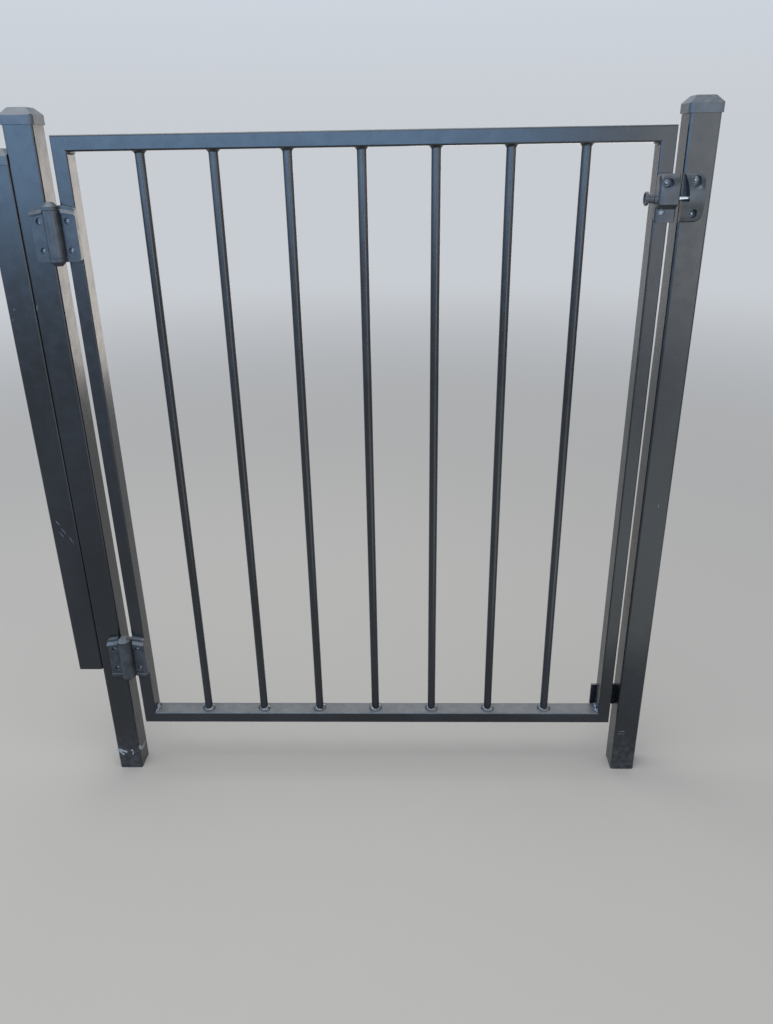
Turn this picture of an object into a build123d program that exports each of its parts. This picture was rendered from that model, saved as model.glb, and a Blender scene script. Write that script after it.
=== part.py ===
from build123d import *
import math
import os

# A single leaf side gate of welded steel box section with seven round bars.
# It hangs between two square posts on two moulded hinges, with a pull latch on the far side.
# Millimetres. X runs from the hinge post to the latch post, Z is up, and the face with the
# hinges and the latch looks along -Y. The origin is the middle of the hinge post's foot.

# Posts
post_size = 50.0
post_wall = 3.0
post_rise = 30.0
opening_width = 1050.0
side_post_lift = 265.0
side_post_drop = 60.0

# Push-over caps
cap_wall = 2.5
cap_clearance = 0.3
cap_skirt = 14.0
cap_rise = 12.0
cap_crown_inset = 12.0
cap_edge = 1.2

# Gate leaf
leaf_lift = 126.0
leaf_height = 1170.0
hinge_gap = 24.0
latch_gap = 16.0
frame_face = 25.0
frame_depth = 38.0
frame_wall = 2.0
bar_count = 7
bar_diameter = 16.0

# Stop behind the leaf
stop_reach = 50.0
stop_height = 50.0
stop_thickness = 5.0
stop_clearance = 5.0
stop_rise = 19.0

# Rolled corners of both box sections, in wall thicknesses
outer_corner_walls = 1.5

# Hinge places and barrel
upper_hinge_drop = 151.0
lower_hinge_rise = 176.0
barrel_radius = 13.5
barrel_length = 102.0
barrel_standoff = 0.5
barrel_end_bevel = 7.0
barrel_end_wall = 4.0
end_knuckle = 13.0
knuckle_gap = 0.5
hinge_pin_diameter = 8.0
running_clearance = 0.05
end_play = 0.3

# Hinge leaves
plate_reach = 38.0
plate_height = 90.0
plate_thickness = 10.0
plate_clearance = 2.0
plate_corner = 4.0
hood_depth = 15.0
hood_drop = 12.0
hood_slope = 4.0
hood_bevel = 10.0
lip_height = 5.0
lip_depth = 13.0
hinge_screw_out = 24.0
hinge_screw_pitch = 47.0
hinge_screw_drop = 3.5
hinge_seat_depth = 4.0
screw_hole_diameter = 5.2
screw_seat_diameter = 10.5

# Latch case on the gate
latch_drop = 109.0
latch_height = 75.0
case_overhang = 8.0
case_depth = 24.0
case_foot_depth = 10.0
case_top_depth = 14.0
case_shoulder = 17.0
case_belly = 9.0
case_brow = 12.0
case_edge = 2.0
case_round = 6.0
case_screw_up = 23.5
case_screw_down = 21.5
case_screw_step = 3.0
case_seat_depth = 2.0
case_recess_width = 19.0
case_recess_height = 14.0
case_recess_floor = 11.0
collar_length = 6.0
collar_diameter = 18.0

# Latch keeper on the post
keeper_width = 35.0
keeper_depth = 20.0
keeper_end_depth = 8.0
keeper_edge = 2.0
keeper_corner = 12.0
ramp_set_in = 9.0
ramp_top_set_in = 1.0
ramp_floor = 4.0
ramp_foot = 5.0
keeper_recess_in = 20.5
keeper_recess_up = 25.5
keeper_recess_width = 12.5
keeper_recess_height = 17.0
keeper_recess_floor = 5.0
keeper_scoop_radius = 10.0
keeper_scoop_in = 22.0
keeper_scoop_up = 21.5
keeper_screw_in = 19.5
keeper_screw_up = 27.5
keeper_screw_down = 24.0
keeper_slot_height = 14.0
socket_depth = 6.0
socket_clearance = 0.6

# Latch pull and pin
latch_pin_diameter = 7.0
latch_pin_axis = 12.0
latch_pin_engagement = 3.0
latch_travel = 16.0
knob_shaft_diameter = 14.0
knob_shaft_seat = 2.0
knob_reach = 20.0
knob_disc_diameter = 22.0
knob_disc_thickness = 4.0
knob_rim = 2.5
knob_dish = 1.5
knob_edge = 0.8

# Places worked out from the sizes above
post_height = leaf_lift + leaf_height + post_rise
side_post_height = post_height - side_post_drop - side_post_lift
post_front = -post_size / 2
post_inside = post_size / 2
latch_post_x = opening_width + post_size
leaf_left = post_inside + hinge_gap
leaf_right = post_inside + opening_width - latch_gap
leaf_bottom = leaf_lift
leaf_top = leaf_lift + leaf_height
leaf_width = leaf_right - leaf_left
leaf_y = post_front + frame_depth / 2
cap_overhang = cap_wall + cap_clearance
side_post_x = -post_size
hinge_x = post_inside + hinge_gap / 2
hinge_offset = barrel_radius + barrel_standoff
hinge_y = post_front - hinge_offset
upper_hinge_z = leaf_top - upper_hinge_drop
lower_hinge_z = leaf_bottom + lower_hinge_rise
latch_z = leaf_top - latch_drop
stile_inner_x = leaf_right - frame_face
keeper_left = latch_post_x - post_size / 2
case_width = frame_face + case_overhang
shaft_inside = latch_travel + knob_shaft_seat

os.makedirs("parts", exist_ok=True)


def front_prism(outline, near, far):
    """A prism whose outline is drawn in the X-Z plane, between two Y values."""
    face = Plane.XZ * make_face(outline)
    return Pos(0, far, 0) * extrude(face, amount=far - near)


def front_cut(shape, x, z, near, far):
    """A prism of a flat shape centred on x and z, between two Y values."""
    face = Plane.XZ * (Pos(x, z) * shape)
    return Pos(0, far, 0) * extrude(face, amount=far - near)


def rod_along_x(diameter, start, end):
    """A round rod on the X axis."""
    return Pos(start, 0, 0) * Rot(0, 90, 0) * extrude(Circle(diameter / 2), amount=end - start)


def box_section(width, depth, length, wall):
    """A hollow rolled section standing on the X-Y plane, centred on the Z axis."""
    outer = RectangleRounded(width, depth, outer_corner_walls * wall)
    inner = Rectangle(width - 2 * wall, depth - 2 * wall)
    return extrude(outer - inner, amount=length)


def post(x, bottom, height):
    """A square post of hollow section, open at its foot."""
    return Pos(x, 0, bottom) * box_section(post_size, post_size, height, post_wall)


def post_cap(x, top):
    """A moulded cap pushed over the end of a post, with a low four sided crown."""
    outside = post_size + 2 * cap_overhang
    inside = post_size + 2 * cap_clearance
    corner = outer_corner_walls * post_wall + cap_overhang
    well_corner = outer_corner_walls * post_wall + cap_clearance
    rim = RectangleRounded(outside, outside, corner)
    well = RectangleRounded(inside, inside, well_corner)
    skirt = extrude(rim - well, amount=-cap_skirt)
    slope = math.degrees(math.atan2(cap_crown_inset, cap_rise))
    pyramid = extrude(Rectangle(outside, outside), amount=cap_rise, taper=slope)
    ridges = [edge for edge in pyramid.edges() if edge.bounding_box().max.Z > cap_rise / 2]
    crown = chamfer(ridges, cap_edge) & extrude(rim, amount=cap_rise)
    return Pos(x, 0, top) * (skirt + crown)


def trimmed_cap(x, top):
    """A post cap cut level with the post on the two X sides, where its neighbours leave no room."""
    kept = Pos(x, 0, top) * Box(post_size, 2 * post_size, 2 * (cap_skirt + cap_rise))
    return post_cap(x, top) & kept


def mitred(member, corners):
    """Cuts a frame member's ends to the mitres that the front view outline gives."""
    outline = Polyline(*corners, close=True)
    return member & front_prism(outline, leaf_y - frame_depth, leaf_y + frame_depth)


def stile(outer_x, inner_x):
    """An upright of the frame, mitred at both ends towards its inner face."""
    tube = box_section(frame_face, frame_depth, leaf_height, frame_wall)
    corners = [
        (outer_x, leaf_bottom),
        (outer_x, leaf_top),
        (inner_x, leaf_top - frame_face),
        (inner_x, leaf_bottom + frame_face),
    ]
    return mitred(Pos((outer_x + inner_x) / 2, leaf_y, leaf_bottom) * tube, corners)


def rail(outer_z, inner_z):
    """A level member of the frame, mitred at both ends towards its inner face."""
    tube = box_section(frame_face, frame_depth, leaf_width, frame_wall)
    corners = [
        (leaf_left, outer_z),
        (leaf_right, outer_z),
        (leaf_right - frame_face, inner_z),
        (leaf_left + frame_face, inner_z),
    ]
    return mitred(Pos(leaf_left, leaf_y, (outer_z + inner_z) / 2) * Rot(0, 90, 0) * tube, corners)


def bar(index):
    """A round bar between the rails, evenly spaced with its neighbours and the stiles."""
    clear = (leaf_width - 2 * frame_face - bar_count * bar_diameter) / (bar_count + 1)
    x = leaf_left + frame_face + clear + bar_diameter / 2 + index * (clear + bar_diameter)
    length = leaf_height - 2 * frame_face
    return Pos(x, leaf_y, leaf_bottom + frame_face) * extrude(Circle(bar_diameter / 2), amount=length)


def gate_stop():
    """A short piece of flat bar on the side of the latch post, just behind the shut leaf."""
    near = leaf_y + frame_depth / 2 + stop_clearance
    shape = Rectangle(stop_reach, stop_height)
    x = latch_post_x - post_size / 2 - stop_reach / 2
    z = leaf_bottom + stop_rise + stop_height / 2
    return front_cut(shape, x, z, near, near + stop_thickness)


def barrel(bottom, top):
    """One stretch of the hinge barrel about the hinge axis."""
    return Pos(0, 0, bottom) * extrude(Circle(barrel_radius), amount=top - bottom)


def pin_bore(bottom, top):
    """The bore for the hinge pin, to be cut from the barrel and what joins it."""
    bore = Circle(hinge_pin_diameter / 2 + running_clearance)
    return Pos(0, 0, bottom) * extrude(bore, amount=top - bottom)


def hinge_plate():
    """A hinge leaf without its knuckles, to the right of an axis at x = 0 and y = 0.

    A sloping hood runs over its screws, with a bevel that sheds water, and a lip runs under them.
    """
    inner = barrel_radius + plate_clearance
    half = plate_height / 2
    brow = half - hood_slope
    face = hinge_offset - plate_thickness
    outline = Polyline((inner, -half), (plate_reach, -half), (plate_reach, brow), (inner, half), close=True)
    sheet = make_face(outline)
    sheet = fillet(sheet.vertices().group_by(Axis.X)[-1], plate_corner)
    hood_outline = Polyline(
        (inner, half - hood_drop),
        (plate_reach, brow - hood_drop),
        (plate_reach, brow),
        (inner, half),
        close=True,
    )
    hood = front_prism(hood_outline, hinge_offset - hood_depth, hinge_offset)
    ridge = hood.edges().group_by(Axis.Y)[0].sort_by(Axis.Z)[-1]
    lip_outline = Polyline(
        (inner, -half),
        (plate_reach, -half),
        (plate_reach, lip_height - half),
        (inner, lip_height - half),
        close=True,
    )
    lip = front_prism(lip_outline, hinge_offset - lip_depth, hinge_offset)
    ribs = chamfer(ridge, hood_bevel) + lip
    ribs &= front_cut(sheet, 0, 0, hinge_offset - hood_depth, hinge_offset)
    leaf = front_cut(sheet, 0, 0, face, hinge_offset) + ribs
    hole = Circle(screw_hole_diameter / 2)
    seat = Circle(screw_seat_diameter / 2)
    for rise in (-hinge_screw_pitch / 2, hinge_screw_pitch / 2):
        z = rise - hinge_screw_drop
        leaf -= front_cut(hole, hinge_screw_out, z, face, hinge_offset)
        leaf -= front_cut(seat, hinge_screw_out, z, face, face + hinge_seat_depth)
    return leaf


def barrel_web(bottom, top):
    """The web that joins a stretch of barrel to the leaf on its right."""
    inner = barrel_radius + plate_clearance
    outline = Polyline((0, bottom), (inner, bottom), (inner, top), (0, top), close=True)
    return front_prism(outline, hinge_offset - plate_thickness, hinge_offset)


def hinge_post_leaf(z):
    """The fixed leaf of a hinge, with the long middle stretch of the barrel."""
    reach = barrel_length / 2 - end_knuckle
    leaf = mirror(hinge_plate() + barrel_web(-reach, reach), Plane.YZ)
    leaf += barrel(-reach, reach)
    return Pos(hinge_x, hinge_y, z) * (leaf - pin_bore(-reach, reach))


def barrel_end():
    """The closed upper end of the barrel, bevelled and joined to the leaf on its right."""
    half = barrel_length / 2
    near = half - end_knuckle + knuckle_gap
    profile = Polyline(
        (0, near),
        (barrel_radius, near),
        (barrel_radius, half - barrel_end_bevel),
        (barrel_radius - barrel_end_bevel, half),
        (0, half),
        close=True,
    )
    stretch = revolve(Plane.XZ * make_face(profile), axis=Axis.Z)
    stretch += barrel_web(near, plate_height / 2)
    return stretch - pin_bore(near, half - barrel_end_wall)


def hinge_gate_leaf(z):
    """The moving leaf of a hinge, with a closed knuckle at each end of the barrel."""
    end = barrel_end()
    return Pos(hinge_x, hinge_y, z) * (hinge_plate() + end + mirror(end, Plane.XY))


def hinge_pin(z):
    """The steel pin inside all three stretches of the barrel."""
    length = barrel_length - 2 * (barrel_end_wall + end_play)
    return Pos(hinge_x, hinge_y, z) * Cylinder(hinge_pin_diameter / 2, length)


def oval(width, height):
    """A flat slot shape with round ends, upright or level as its sides ask."""
    if width > height:
        return SlotOverall(width, height)
    return Rot(0, 0, 90) * SlotOverall(height, width)


def side_edges(body, x):
    """The outline edges of a moulding on its side face at the given X, without those of its back."""
    return [
        edge
        for edge in body.edges()
        if abs(edge.bounding_box().min.X - x) < 0.001
        and abs(edge.bounding_box().max.X - x) < 0.001
        and edge.bounding_box().min.Y < -0.001
    ]


def latch_case():
    """The latch body on the gate, deep over the pin and thin at its foot.

    It is made about the pin's axis at z = 0, with its back at y = 0 and its left at x = 0.
    """
    half = latch_height / 2
    profile = [
        Polyline((0, half), (0, -half), (-case_foot_depth, -half), (-case_foot_depth, -case_shoulder)),
        Line((-case_foot_depth, -case_shoulder), (-case_depth, -case_belly)),
        Line((-case_depth, -case_belly), (-case_depth, case_brow)),
        TangentArc((-case_depth, case_brow), (-case_top_depth, half), tangent=(0, 1)),
        Line((-case_top_depth, half), (0, half)),
    ]
    body = extrude(Plane.YZ * make_face(profile), amount=case_width)
    body = fillet(side_edges(body, 0), case_round)
    body = chamfer(side_edges(body, case_width), case_edge)
    body += Pos(0, -latch_pin_axis, 0) * rod_along_x(collar_diameter, -collar_length, 0)
    shaft_bore = knob_shaft_diameter + 2 * running_clearance
    shaft = rod_along_x(shaft_bore, -collar_length, shaft_inside + end_play)
    pin = rod_along_x(latch_pin_diameter + 2 * running_clearance, 0, case_width)
    body -= Pos(0, -latch_pin_axis, 0) * (shaft + pin)
    upper_x = frame_face / 2
    lower_x = upper_x - case_screw_step
    recess = oval(case_recess_width, case_recess_height)
    body -= front_cut(recess, upper_x, case_screw_up, -case_depth, -case_recess_floor)
    body -= front_cut(Circle(screw_hole_diameter / 2), upper_x, case_screw_up, -case_depth, 0)
    seat_floor = case_seat_depth - case_foot_depth
    body -= front_cut(Circle(screw_seat_diameter / 2), lower_x, -case_screw_down, -case_depth, seat_floor)
    body -= front_cut(Circle(screw_hole_diameter / 2), lower_x, -case_screw_down, -case_depth, 0)
    return Pos(stile_inner_x, post_front, latch_z) * body


def keeper():
    """The latch keeper on the post, with a ramp that leads to the pin's socket.

    It is made about the pin's axis at z = 0, with its back at y = 0 and its left at x = 0.
    """
    half = latch_height / 2
    profile = [
        Polyline((-keeper_end_depth, half), (0, half), (0, -half), (-keeper_end_depth, -half)),
        ThreePointArc((-keeper_end_depth, -half), (-keeper_depth, 0), (-keeper_end_depth, half)),
    ]
    body = extrude(Plane.YZ * make_face(profile), amount=keeper_width)
    outline = RectangleRounded(2 * keeper_width, latch_height, keeper_corner)
    body &= front_cut(outline, 0, 0, -keeper_depth, 0)
    front = body.faces().sort_by(Axis.Y)[0]
    body = chamfer(front.edges().sort_by(Axis.X)[1:], keeper_edge)
    ramp = [
        Line((0, half), (0, -ramp_foot)),
        Line((0, -ramp_foot), (ramp_set_in, -ramp_foot)),
        TangentArc((ramp_set_in, -ramp_foot), (ramp_top_set_in, half), tangent=(0, 1)),
        Line((ramp_top_set_in, half), (0, half)),
    ]
    body -= front_prism(ramp, -keeper_depth, -ramp_floor)
    socket = rod_along_x(latch_pin_diameter + 2 * socket_clearance, 0, ramp_set_in + socket_depth)
    body -= Pos(0, -latch_pin_axis, 0) * socket
    upper = oval(keeper_recess_width, keeper_recess_height)
    body -= front_cut(upper, keeper_recess_in, keeper_recess_up, -keeper_depth, -keeper_recess_floor)
    scoop = Rot(-90, 0, 0) * Cone(keeper_scoop_radius, 0, keeper_scoop_radius)
    body -= Pos(keeper_scoop_in, keeper_scoop_radius / 2 - keeper_depth, keeper_scoop_up) * scoop
    lower = oval(screw_seat_diameter, keeper_slot_height)
    body -= front_cut(lower, keeper_screw_in, -keeper_screw_down, -keeper_depth, -keeper_recess_floor)
    for z in (keeper_screw_up, -keeper_screw_down):
        body -= front_cut(Circle(screw_hole_diameter / 2), keeper_screw_in, z, -keeper_depth, 0)
    return Pos(keeper_left, post_front, latch_z) * body


def latch_pin():
    """The steel pin, from the end of the knob's shaft into the keeper's socket."""
    start = stile_inner_x + shaft_inside
    tip = keeper_left + ramp_set_in + latch_pin_engagement
    return Pos(0, post_front - latch_pin_axis, latch_z) * rod_along_x(latch_pin_diameter, start, tip)


def latch_knob():
    """The pull knob, a dished disc on a shaft that slides in the latch case."""
    disc = knob_disc_diameter / 2
    shaft = knob_shaft_diameter / 2
    length = knob_reach + shaft_inside
    profile = Polyline(
        (knob_dish, 0),
        (knob_dish, disc - knob_rim),
        (0, disc - knob_rim),
        (0, disc - knob_edge),
        (knob_edge, disc),
        (knob_disc_thickness, disc),
        (knob_disc_thickness, shaft),
        (length, shaft),
        (length, 0),
        close=True,
    )
    body = revolve(make_face(profile), axis=Axis.X)
    return Pos(stile_inner_x - knob_reach, post_front - latch_pin_axis, latch_z) * body


pieces = {
    "hinge_post": post(0, 0, post_height),
    "hinge_post_cap": post_cap(0, post_height),
    "side_post": post(side_post_x, side_post_lift, side_post_height),
    "side_post_cap": trimmed_cap(side_post_x, side_post_lift + side_post_height),
    "latch_post": post(latch_post_x, 0, post_height),
    "latch_post_cap": post_cap(latch_post_x, post_height),
    "gate_stop": gate_stop(),
    "hinge_stile": stile(leaf_left, leaf_left + frame_face),
    "latch_stile": stile(leaf_right, leaf_right - frame_face),
    "top_rail": rail(leaf_top, leaf_top - frame_face),
    "bottom_rail": rail(leaf_bottom, leaf_bottom + frame_face),
    "upper_hinge_post_leaf": hinge_post_leaf(upper_hinge_z),
    "upper_hinge_gate_leaf": hinge_gate_leaf(upper_hinge_z),
    "upper_hinge_pin": hinge_pin(upper_hinge_z),
    "lower_hinge_post_leaf": hinge_post_leaf(lower_hinge_z),
    "lower_hinge_gate_leaf": hinge_gate_leaf(lower_hinge_z),
    "lower_hinge_pin": hinge_pin(lower_hinge_z),
    "latch_case": latch_case(),
    "latch_keeper": keeper(),
    "latch_pin": latch_pin(),
    "latch_knob": latch_knob(),
}
for index in range(bar_count):
    pieces[f"bar_{index + 1}"] = bar(index)

for name, shape in pieces.items():
    export_step(shape, f"parts/{name}.step")
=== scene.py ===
import math
import bmesh
import bpy
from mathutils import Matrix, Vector


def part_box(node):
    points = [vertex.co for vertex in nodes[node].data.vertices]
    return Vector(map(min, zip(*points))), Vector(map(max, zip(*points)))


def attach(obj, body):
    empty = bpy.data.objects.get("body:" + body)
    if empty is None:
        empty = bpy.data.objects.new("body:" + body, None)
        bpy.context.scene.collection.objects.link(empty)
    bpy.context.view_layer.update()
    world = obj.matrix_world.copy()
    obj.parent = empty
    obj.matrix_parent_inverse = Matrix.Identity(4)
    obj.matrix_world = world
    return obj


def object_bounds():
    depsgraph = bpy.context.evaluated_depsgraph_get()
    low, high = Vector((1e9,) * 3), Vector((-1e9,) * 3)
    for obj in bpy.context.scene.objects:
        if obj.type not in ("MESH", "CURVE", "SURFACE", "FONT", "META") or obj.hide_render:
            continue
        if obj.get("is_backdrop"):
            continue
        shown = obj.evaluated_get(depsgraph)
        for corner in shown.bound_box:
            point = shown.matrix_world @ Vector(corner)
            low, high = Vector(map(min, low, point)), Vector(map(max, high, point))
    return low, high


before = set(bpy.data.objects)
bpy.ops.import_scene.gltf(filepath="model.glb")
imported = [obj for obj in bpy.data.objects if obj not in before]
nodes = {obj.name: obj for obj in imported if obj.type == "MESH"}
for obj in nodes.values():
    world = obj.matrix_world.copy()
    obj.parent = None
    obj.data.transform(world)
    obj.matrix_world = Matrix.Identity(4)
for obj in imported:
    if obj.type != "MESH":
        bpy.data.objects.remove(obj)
cad_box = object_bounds()
scene = bpy.context.scene

# The view
# A hand held camera stands in front of the gate, a little above its latch, and looks down at it.
# The lens is the wide one of a pocket camera, held upright.
camera_place = (0.6261, -1.4550, 1.2583)
camera_pitch = 66.212
camera_roll = 0.858
camera_turn = 1.246
lens_length = 28.47
sensor_width = 36.0
lens = bpy.data.cameras.new("view_from_the_yard")
lens.sensor_width = sensor_width
lens.lens = lens_length
viewer = bpy.data.objects.new("view_from_the_yard", lens)
viewer.location = camera_place
viewer.rotation_euler = [math.radians(angle) for angle in (camera_pitch, camera_roll, camera_turn)]
scene.collection.objects.link(viewer)
scene.camera = viewer
scene.view_settings.view_transform = "Standard"

# Floor and sky
# A plain pale floor fades with distance into haze, and the haze clears upward into a pale sky. Mirrors
# and gloss see the same as the camera does, and the rest is lit by a softer share of the sky.
floor_reach = 40.0
floor_colour = (0.60, 0.575, 0.54, 1)
floor_roughness = 0.9
haze_colour = (0.58, 0.61, 0.65, 1)
fade_middle = (0.55, 0.0, 0.0)
fade_start, fade_end = 0.4, 8.0
sky_colour = (0.72, 0.82, 0.95, 1)
sky_clears_by = 0.45
sky_light_colour = (0.90, 0.94, 1.0, 1)
sky_light_strength = 0.5


def wire(tree, kind, sockets, **settings):
    """Adds a node to a tree. A socket in the dictionary is linked, and any other value is set."""
    node = tree.nodes.new(kind)
    for name, value in settings.items():
        setattr(node, name, value)
    for key, value in sockets.items():
        if isinstance(value, bpy.types.NodeSocket):
            tree.links.new(value, node.inputs[key])
        else:
            node.inputs[key].default_value = value
    return node


def flow(tree, kind, sockets, out=0, **settings):
    """Adds a node as wire does, and gives one of its outputs."""
    return wire(tree, kind, sockets, **settings).outputs[out]


def reckon(tree, operation, first, *rest):
    """Arithmetic on two or more values, from left to right."""
    for value in rest:
        first = flow(tree, "ShaderNodeMath", {0: first, 1: value}, operation=operation)
    return first


def ease(tree, value, low, high, start=0.0, end=1.0):
    """The value eased from start to end as it goes from low to high."""
    sockets = {"Value": value, "From Min": low, "From Max": high, "To Min": start, "To Max": end}
    return flow(tree, "ShaderNodeMapRange", sockets, interpolation_type="SMOOTHSTEP")


def tint(tree, share, first, second):
    """One colour laid over another by a share."""
    return flow(tree, "ShaderNodeMix", {0: share, 6: first, 7: second}, 2, data_type="RGBA")


def surface(name, **plain):
    """A material with its own shader, whose plain values are set on the shader's sockets."""
    material = bpy.data.materials.new(name)
    material.use_nodes = True
    shader = material.node_tree.nodes["Principled BSDF"]
    for socket, value in plain.items():
        shader.inputs[socket.replace("_", " ")].default_value = value
    return material, material.node_tree, shader


def on_object(tree):
    """Where a point of a piece lies, in metres, for the patterns of its finish."""
    return flow(tree, "ShaderNodeTexCoord", {}, "Object")


def shown_rays(tree):
    """One for the rays that show a background: the camera's, and those off gloss and through glass."""
    ray = tree.nodes.new("ShaderNodeLightPath").outputs
    return reckon(tree, "MAXIMUM", ray["Is Camera Ray"], ray["Is Glossy Ray"], ray["Is Transmission Ray"])


floor_corners = [(x * floor_reach, y * floor_reach, 0) for x, y in ((-1, -1), (1, -1), (1, 1), (-1, 1))]
floor_mesh = bpy.data.meshes.new("floor")
floor_mesh.from_pydata(floor_corners, [], [(0, 1, 2, 3)])
floor = bpy.data.objects.new("floor", floor_mesh)
scene.collection.objects.link(floor)
floor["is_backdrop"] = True

floor_finish, tree, shader = surface("pale_floor", Base_Color=floor_colour, Roughness=floor_roughness)
floor_mesh.materials.append(floor_finish)
sockets = {0: on_object(tree), 1: fade_middle}
distance = flow(tree, "ShaderNodeVectorMath", sockets, "Value", operation="DISTANCE")
faded = reckon(tree, "MULTIPLY", ease(tree, distance, fade_start, fade_end), shown_rays(tree))
haze = flow(tree, "ShaderNodeEmission", {"Color": haze_colour})
seamless = flow(tree, "ShaderNodeMixShader", {0: faded, 1: shader.outputs[0], 2: haze})
tree.links.new(seamless, tree.nodes["Material Output"].inputs["Surface"])

sky = bpy.data.worlds.new("pale_sky")
sky.use_nodes = True
tree = sky.node_tree
tree.nodes.clear()
direction = flow(tree, "ShaderNodeTexCoord", {}, "Generated")
up = flow(tree, "ShaderNodeSeparateXYZ", {0: direction}, "Z")
shown_colour = tint(tree, ease(tree, up, 0.0, sky_clears_by), haze_colour, sky_colour)
shown = flow(tree, "ShaderNodeBackground", {"Color": shown_colour, "Strength": 1.0})
cast = flow(tree, "ShaderNodeBackground", {"Color": sky_light_colour, "Strength": sky_light_strength})
mixed = flow(tree, "ShaderNodeMixShader", {0: shown_rays(tree), 1: cast, 2: shown})
wire(tree, "ShaderNodeOutputWorld", {0: mixed})
scene.world = sky

# Lamps
# A wide soft panel overhead lights everything, and the others light the gate alone. Cool ones stand in
# front and on both sides, and pale ones in front on the right and on the floor for the latch post.
# Behind the gate, one is high up for the tops of the rails, and a warm one is low on the right.
lamp_aim = Vector((0.55, 0, 0.7))
facing_up = (math.pi, 0, 0)


def lit_but(name, dark):
    """What a lamp lights: everything but the objects named."""
    lit = bpy.data.collections.new(name)
    for thing in dark:
        lit.objects.link(thing)
    for member in lit.collection_objects:
        member.light_linking.link_state = "EXCLUDE"
    return lit


def soft_panel(name, place, size, power, colour, lights=None, turn=None):
    """A wide soft lamp of so many watts that doesn't show itself.

    It looks at the middle of the gate, unless its turn is given.
    """
    lamp = bpy.data.lights.new(name, "AREA")
    lamp.shape = "RECTANGLE"
    lamp.size, lamp.size_y = size
    lamp.energy = power
    lamp.color = colour
    panel = bpy.data.objects.new(name, lamp)
    panel.location = place
    panel.rotation_euler = turn or (lamp_aim - Vector(place)).to_track_quat("-Z", "Y").to_euler()
    panel.visible_camera = False
    panel.light_linking.receiver_collection = lights
    scene.collection.objects.link(panel)


gate_alone = lit_but("lit_gate_alone", [floor])
cap_names = [name for name in nodes if name.endswith("_cap")]
gate_without_caps = lit_but("lit_gate_without_caps", [floor] + [nodes[name] for name in cap_names])
soft_panel("overhead_panel", (0.1, -0.3, 3.2), (2.8, 1.7), 48, (0.95, 0.98, 1.0))
soft_panel("cool_front_panel", (-0.25, -3.2, 1.75), (3.8, 1.7), 122, (0.34, 0.61, 1.0), gate_alone)
soft_panel("cool_left_panel", (-2.8, -1.3, 1.75), (3.6, 1.7), 66, (0.36, 0.62, 1.0), gate_alone)
soft_panel("cool_right_panel", (3.9, -1.0, 1.75), (3.2, 1.7), 36, (0.62, 0.74, 1.0), gate_alone)
soft_panel("pale_front_panel", (2.6, -3.0, 1.2), (1.7, 2.0), 31, (0.96, 0.99, 1.0), gate_alone)
soft_panel("ground_panel", (1.65, -1.75, 0.02), (1.4, 2.6), 12, (0.90, 1.0, 0.99), gate_alone, facing_up)
soft_panel("rear_panel", (0.6, 3.0, 2.65), (3.0, 0.8), 28, (0.95, 0.97, 1.0), gate_without_caps)
soft_panel("warm_rear_panel", (1.5, 3.4, 0.75), (1.8, 1.4), 20, (1.0, 0.93, 0.85), gate_alone)

# Posts
# Three square posts of rolled steel box section, sprayed gloss black. The tall ones carry and catch the
# leaf, and the shorter one stands against the hinge post. Dust has settled on what faces up.
paint_colour = (0.006, 0.0068, 0.008, 1)
faded_paint_colour = (0.011, 0.0122, 0.0142, 1)
paint_ior = 1.5
paint_roughness = (0.22, 0.30)
noise_spread = (0.35, 0.7)
cloud_stretch = (9, 9, 3)
gloss_scale, gloss_spread = 45.0, (0.3, 0.75)
spatter_scale, spatter_spread = 90.0, (0.34, 0.76)
rub_colour = (0.055, 0.058, 0.061, 1)
rub_roughness = 0.25
dust_and_sky_grey_colour = (0.30, 0.285, 0.26, 1)
dust_roughness = 0.9
ground_dust_height = 0.13
ground_dust_share = 0.13


def shader_group(name, inputs, output, kind="NodeSocketFloat"):
    """An empty shader group with a vector, number inputs and one output, and its two end nodes."""
    group = bpy.data.node_groups.new(name, "ShaderNodeTree")
    group.interface.new_socket("Vector", in_out="INPUT", socket_type="NodeSocketVector")
    for label, value in inputs.items():
        socket = group.interface.new_socket(label, in_out="INPUT", socket_type="NodeSocketFloat")
        socket.default_value = value
    group.interface.new_socket(output, in_out="OUTPUT", socket_type=kind)
    return group, group.nodes.new("NodeGroupInput").outputs, group.nodes.new("NodeGroupOutput").inputs


def stretched(tree, vector, scale):
    """The vector with a scale of its own along each axis."""
    return flow(tree, "ShaderNodeVectorMath", {0: vector, 1: scale}, operation="MULTIPLY")


def speckle(tree, vector, scale, detail=2.0, roughness=0.5):
    """A soft noise value."""
    sockets = {"Vector": vector, "Scale": scale, "Detail": detail, "Roughness": roughness}
    return flow(tree, "ShaderNodeTexNoise", sockets)


def laid(tree, group, vector, **values):
    """A shader group's output in a material, with its own values."""
    node = tree.nodes.new("ShaderNodeGroup")
    node.node_tree = group
    tree.links.new(vector, node.inputs["Vector"])
    for label, value in values.items():
        node.inputs[label.replace("_", " ")].default_value = value
    return node.outputs[0]


def feed(tree, shader, **values):
    """Links values that change over a surface to its shader."""
    for socket, value in values.items():
        tree.links.new(value, shader.inputs[socket.replace("_", " ")])


def emboss(tree, shader, height, **sockets):
    """Gives a surface a relief of so many metres."""
    sockets.update({"Distance": 1.0, "Height": height})
    feed(tree, shader, Normal=flow(tree, "ShaderNodeBump", sockets))


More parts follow.
